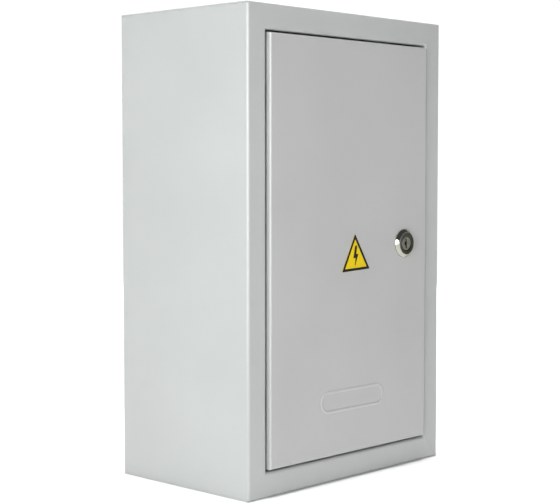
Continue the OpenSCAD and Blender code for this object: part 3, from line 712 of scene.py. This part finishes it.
sign_yellow = vinyl("sign_yellow", (0.730, 0.530, 0.003), (0.680, 0.490, 0.002))
sign_black = vinyl("sign_black", (0.004, 0.0035, 0.003), (0.008, 0.0075, 0.007))
dress_node("sign_field", "sign_film", "sign_yellow", [sign_yellow], 0.00005)
dress_node("sign_border", "sign_black_border", "sign_black", [sign_black], 0.00003)
dress_node("sign_flash", "sign_zigzag", "sign_black", [sign_black], 0.00003)

# ---- Earth bonding -------------------------------------------------------
# Brass studs on the door and the side wall, with nuts, washers and tinned
# crimp lugs, and a green and yellow insulated lead that hangs between them.

tinned = plated("tinned", (0.74, 0.74, 0.72), (0.50, 0.50, 0.48), rough=(0.3, 0.45), tarnish=0.3)
stud_brass = plated("stud_brass", (0.80, 0.62, 0.32), (0.55, 0.38, 0.16), rough=(0.29, 0.40))


def bond_stud(node, name, body, turn, axis):
    """A threaded brass stud, turned from +Z to stand inwards along an axis."""
    low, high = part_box(node)
    base = (low + high) / 2
    base[axis] = low[axis]
    length = high[axis] - low[axis]
    ridges = thread_profile(STUD_CORE, STUD_CREST, 0.0015, length - 0.0006, STUD_PITCH)
    profile = [(STUD_CREST, 0.0), (STUD_CREST, 0.0011)] + ridges + [(STUD_TIP, length)]
    stud = turn_piece(name, profile, STUD_SIDES)
    place_piece(stud, turn, base)
    coat(stud, [stud_brass])
    soften(stud, THREAD_BREAK, angle=70.0, segments=1)
    fit_piece(stud, body, node)


bond_stud("door_stud", "door_earth_stud", "door", (-90, 0, 0), 1)
bond_stud("body_stud", "body_earth_stud", "enclosure", (0, 90, 0), 0)
dress_node("door_stud_nuts", "door_earth_nuts", "brass", [stud_brass, brass_edge], 0.0004)
dress_node("body_stud_nuts", "body_earth_nuts", "brass", [stud_brass, brass_edge], 0.0004)
dress_node("door_stud_washer", "door_earth_washer", "fastener", zinc_finish, 0.00015)
dress_node("body_stud_washer", "body_earth_washer", "fastener", zinc_finish, 0.00015)
door_lug = dress_node("door_lug", "door_earth_lug", "fastener", [tinned, screw_edge], 0.0002)
body_lug = dress_node("body_lug", "body_earth_lug", "fastener", [tinned, screw_edge], 0.0002)

# The lead: points of its route, a smooth curve through them, and a tube round it
LEAD_RADIUS = 0.0019
LEAD_SIDES = 20
LEAD_STEPS = 6
LEAD_ROUTE = [
    (-0.0700, -0.1513, -0.072),
    (-0.0700, -0.1506, -0.084),
    (-0.0710, -0.1480, -0.098),
    (-0.0750, -0.1410, -0.110),
    (-0.0830, -0.1320, -0.117),
    (-0.0920, -0.1220, -0.117),
    (-0.1010, -0.1130, -0.109),
    (-0.1085, -0.1070, -0.098),
    (-0.1140, -0.1048, -0.089),
    (-0.1176, -0.1041, -0.080),
    (-0.1183, -0.1040, -0.072),
]


def curve_point(a, b, c, d, u):
    """A point on the smooth curve from b to c."""
    first = 2 * b + (c - a) * u
    second = (2 * a - 5 * b + 4 * c - d) * u * u
    third = (3 * b - a - 3 * c + d) * u * u * u
    return 0.5 * (first + second + third)


stops = [Vector(p) for p in LEAD_ROUTE]
route = []
for i in range(len(stops) - 1):
    before = stops[max(i - 1, 0)]
    after = stops[min(i + 2, len(stops) - 1)]
    for k in range(LEAD_STEPS):
        route.append(curve_point(before, stops[i], stops[i + 1], after, k / LEAD_STEPS))
route.append(stops[-1])
sleeve = bmesh.new()
rings = []
side = Vector((1.0, 1.0, 0.0)).normalized()
for i, point in enumerate(route):
    along = (route[min(i + 1, len(route) - 1)] - route[max(i - 1, 0)]).normalized()
    outward = along.cross(side).normalized()
    inward = outward.cross(along)
    ring = []
    for k in range(LEAD_SIDES):
        angle = 2 * math.pi * k / LEAD_SIDES
        spoke = inward * math.cos(angle) + outward * math.sin(angle)
        ring.append(sleeve.verts.new(point + spoke * LEAD_RADIUS))
    rings.append(ring)
round_map = sleeve.loops.layers.uv.new("round")
for i in range(len(rings) - 1):
    for k in range(LEAD_SIDES):
        m = (k + 1) % LEAD_SIDES
        face = sleeve.faces.new((rings[i][k], rings[i][m], rings[i + 1][m], rings[i + 1][k]))
        face.smooth = True
        corners = ((k, i), (k + 1, i), (k + 1, i + 1), (k, i + 1))
        for loop, (around, row) in zip(face.loops, corners):
            loop[round_map].uv = (around / LEAD_SIDES, row / len(rings))
sleeve.faces.new(list(reversed(rings[0])))
sleeve.faces.new(rings[-1])
bmesh.ops.recalc_face_normals(sleeve, faces=sleeve.faces)
lead_mesh = bpy.data.meshes.new("earth_lead")
sleeve.to_mesh(lead_mesh)
sleeve.free()
lead = bpy.data.objects.new("earth_lead", lead_mesh)
bpy.context.scene.collection.objects.link(lead)

lead_sleeve, tree, shader, coords = start_material("lead_sleeve")
sleeve_map = tree.nodes.new("ShaderNodeUVMap")
sleeve_map.uv_map = "round"
turn = tree.nodes.new("ShaderNodeSeparateXYZ")
tree.links.new(sleeve_map.outputs["UV"], turn.inputs["Vector"])
band = tree.nodes.new("ShaderNodeMath")
band.operation = "PINGPONG"
band.inputs[1].default_value = 0.5
tree.links.new(turn.outputs["X"], band.inputs[0])
stripe = spread(tree, band.outputs["Value"], 0.0, 1.0, from_low=0.19, from_high=0.21)
green_yellow = mix_colours(tree, stripe, (0.62, 0.50, 0.012), (0.015, 0.20, 0.035))
grime = spread(tree, add_noise(tree, coords, 300.0, 4.0), 0.0, 0.25, from_low=0.45, from_high=0.75)
tree.links.new(mix_colours(tree, grime, green_yellow, (0.10, 0.12, 0.04)), shader.inputs["Base Color"])
tree.links.new(spread(tree, add_noise(tree, coords, 800.0), 0.34, 0.46), shader.inputs["Roughness"])
add_bump(tree, shader, [(add_noise(tree, coords, 600.0, 2.0), 0.00004)])
lead.data.materials.append(lead_sleeve)
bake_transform(lead)
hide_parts("bond_lead")

# ---- Studio --------------------------------------------------------------
# A pale floor under an overhead sun lamp, with a soft lamp from the left, weak
# ones at the foot and behind, and one that only draws the bright lines along
# the bends. The horizon is pale and the ceiling dim.

FLOOR_SIZE = 60.0
bpy.ops.object.select_all(action="DESELECT")
bpy.ops.mesh.primitive_plane_add(size=FLOOR_SIZE, location=(0.0, 0.0, cad_box[0][2]))
floor = bpy.context.object
floor.name = "floor"
floor_paper, tree, shader, coords = start_material("floor_paper")
grain = spread(tree, add_noise(tree, coords, 3.0), 0.0, 1.0)
paper = mix_colours(tree, grain, (0.90, 0.90, 0.90), (0.93, 0.93, 0.93))
tree.links.new(paper, shader.inputs["Base Color"])
shader.inputs["Roughness"].default_value = 0.9
floor.data.materials.append(floor_paper)

world = bpy.data.worlds.new("studio")
bpy.context.scene.world = world
world.use_nodes = True
sky = world.node_tree
direction = sky.nodes.new("ShaderNodeTexCoord").outputs["Generated"]
heading = sky.nodes.new("ShaderNodeSeparateXYZ")
sky.links.new(direction, heading.inputs["Vector"])
fade = sky.nodes.new("ShaderNodeMapRange")
fade.interpolation_type = "SMOOTHSTEP"
HORIZON = 0.125
CEILING = 0.22
fade.inputs["From Min"].default_value = HORIZON
fade.inputs["From Max"].default_value = CEILING
fade.inputs["To Min"].default_value = 1.05
fade.inputs["To Max"].default_value = 0.10
sky.links.new(heading.outputs["Z"], fade.inputs["Value"])
sky.links.new(fade.outputs["Result"], sky.nodes["Background"].inputs["Strength"])
sky.nodes["Background"].inputs["Color"].default_value = (1.0, 1.0, 1.0, 1.0)


def add_lamp(kind, name, place, aim, size, power):
    """A studio lamp at a place, turned to face a point."""
    data = bpy.data.lights.new(name, kind)
    data.energy = power
    if kind == "AREA":
        data.shape = "RECTANGLE"
        data.size, data.size_y = size
    else:
        data.angle = size
    lamp = bpy.data.objects.new(name, data)
    bpy.context.scene.collection.objects.link(lamp)
    lamp.location = place
    turn = (Vector(aim) - Vector(place)).to_track_quat("-Z", "Y")
    lamp.rotation_euler = turn.to_euler()
    return lamp


middle = (0.0, -0.08, 0.0)
sun = add_lamp("SUN", "overhead_sun", (0.0, -0.08, 3.0), middle, math.radians(8), 3.4)
sun.visible_glossy = False
key_lamp = add_lamp("AREA", "key_lamp", (-1.04, -0.49, 0.08), (0.0, -0.08, 0.08), (0.36, 0.9), 11.2)
key_lamp.data.color = (0.965, 1.0, 0.985)
edge_lamp = add_lamp("AREA", "edge_lamp", (-0.72, -0.90, 0.19), (0.0, -0.16, 0.0), (0.32, 0.5), 6.0)
edge_lamp.visible_camera = False
edge_lamp.visible_diffuse = False
foot_lamp = add_lamp("AREA", "foot_lamp", (-0.12, -0.80, -0.15), (0.0, -0.157, -0.2), (0.5, 0.2), 0.46)
foot_lamp.visible_camera = False
foot_lamp.visible_glossy = False
add_lamp("AREA", "fill_lamp", (1.6, 0.9, 0.35), middle, (0.9, 0.9), 13.0)

camera_data = bpy.data.cameras.new("camera")
camera = bpy.data.objects.new("camera", camera_data)
bpy.context.scene.collection.objects.link(camera)
camera_data.lens = 87.5
camera_data.sensor_width = 36.0
camera.location = (-0.8897, -0.9165, 0.0681)
camera.rotation_euler = Euler((math.radians(86.49), 0.0, math.radians(-46.47)))
bpy.context.scene.camera = camera
bpy.context.scene.view_settings.view_transform = "Standard"
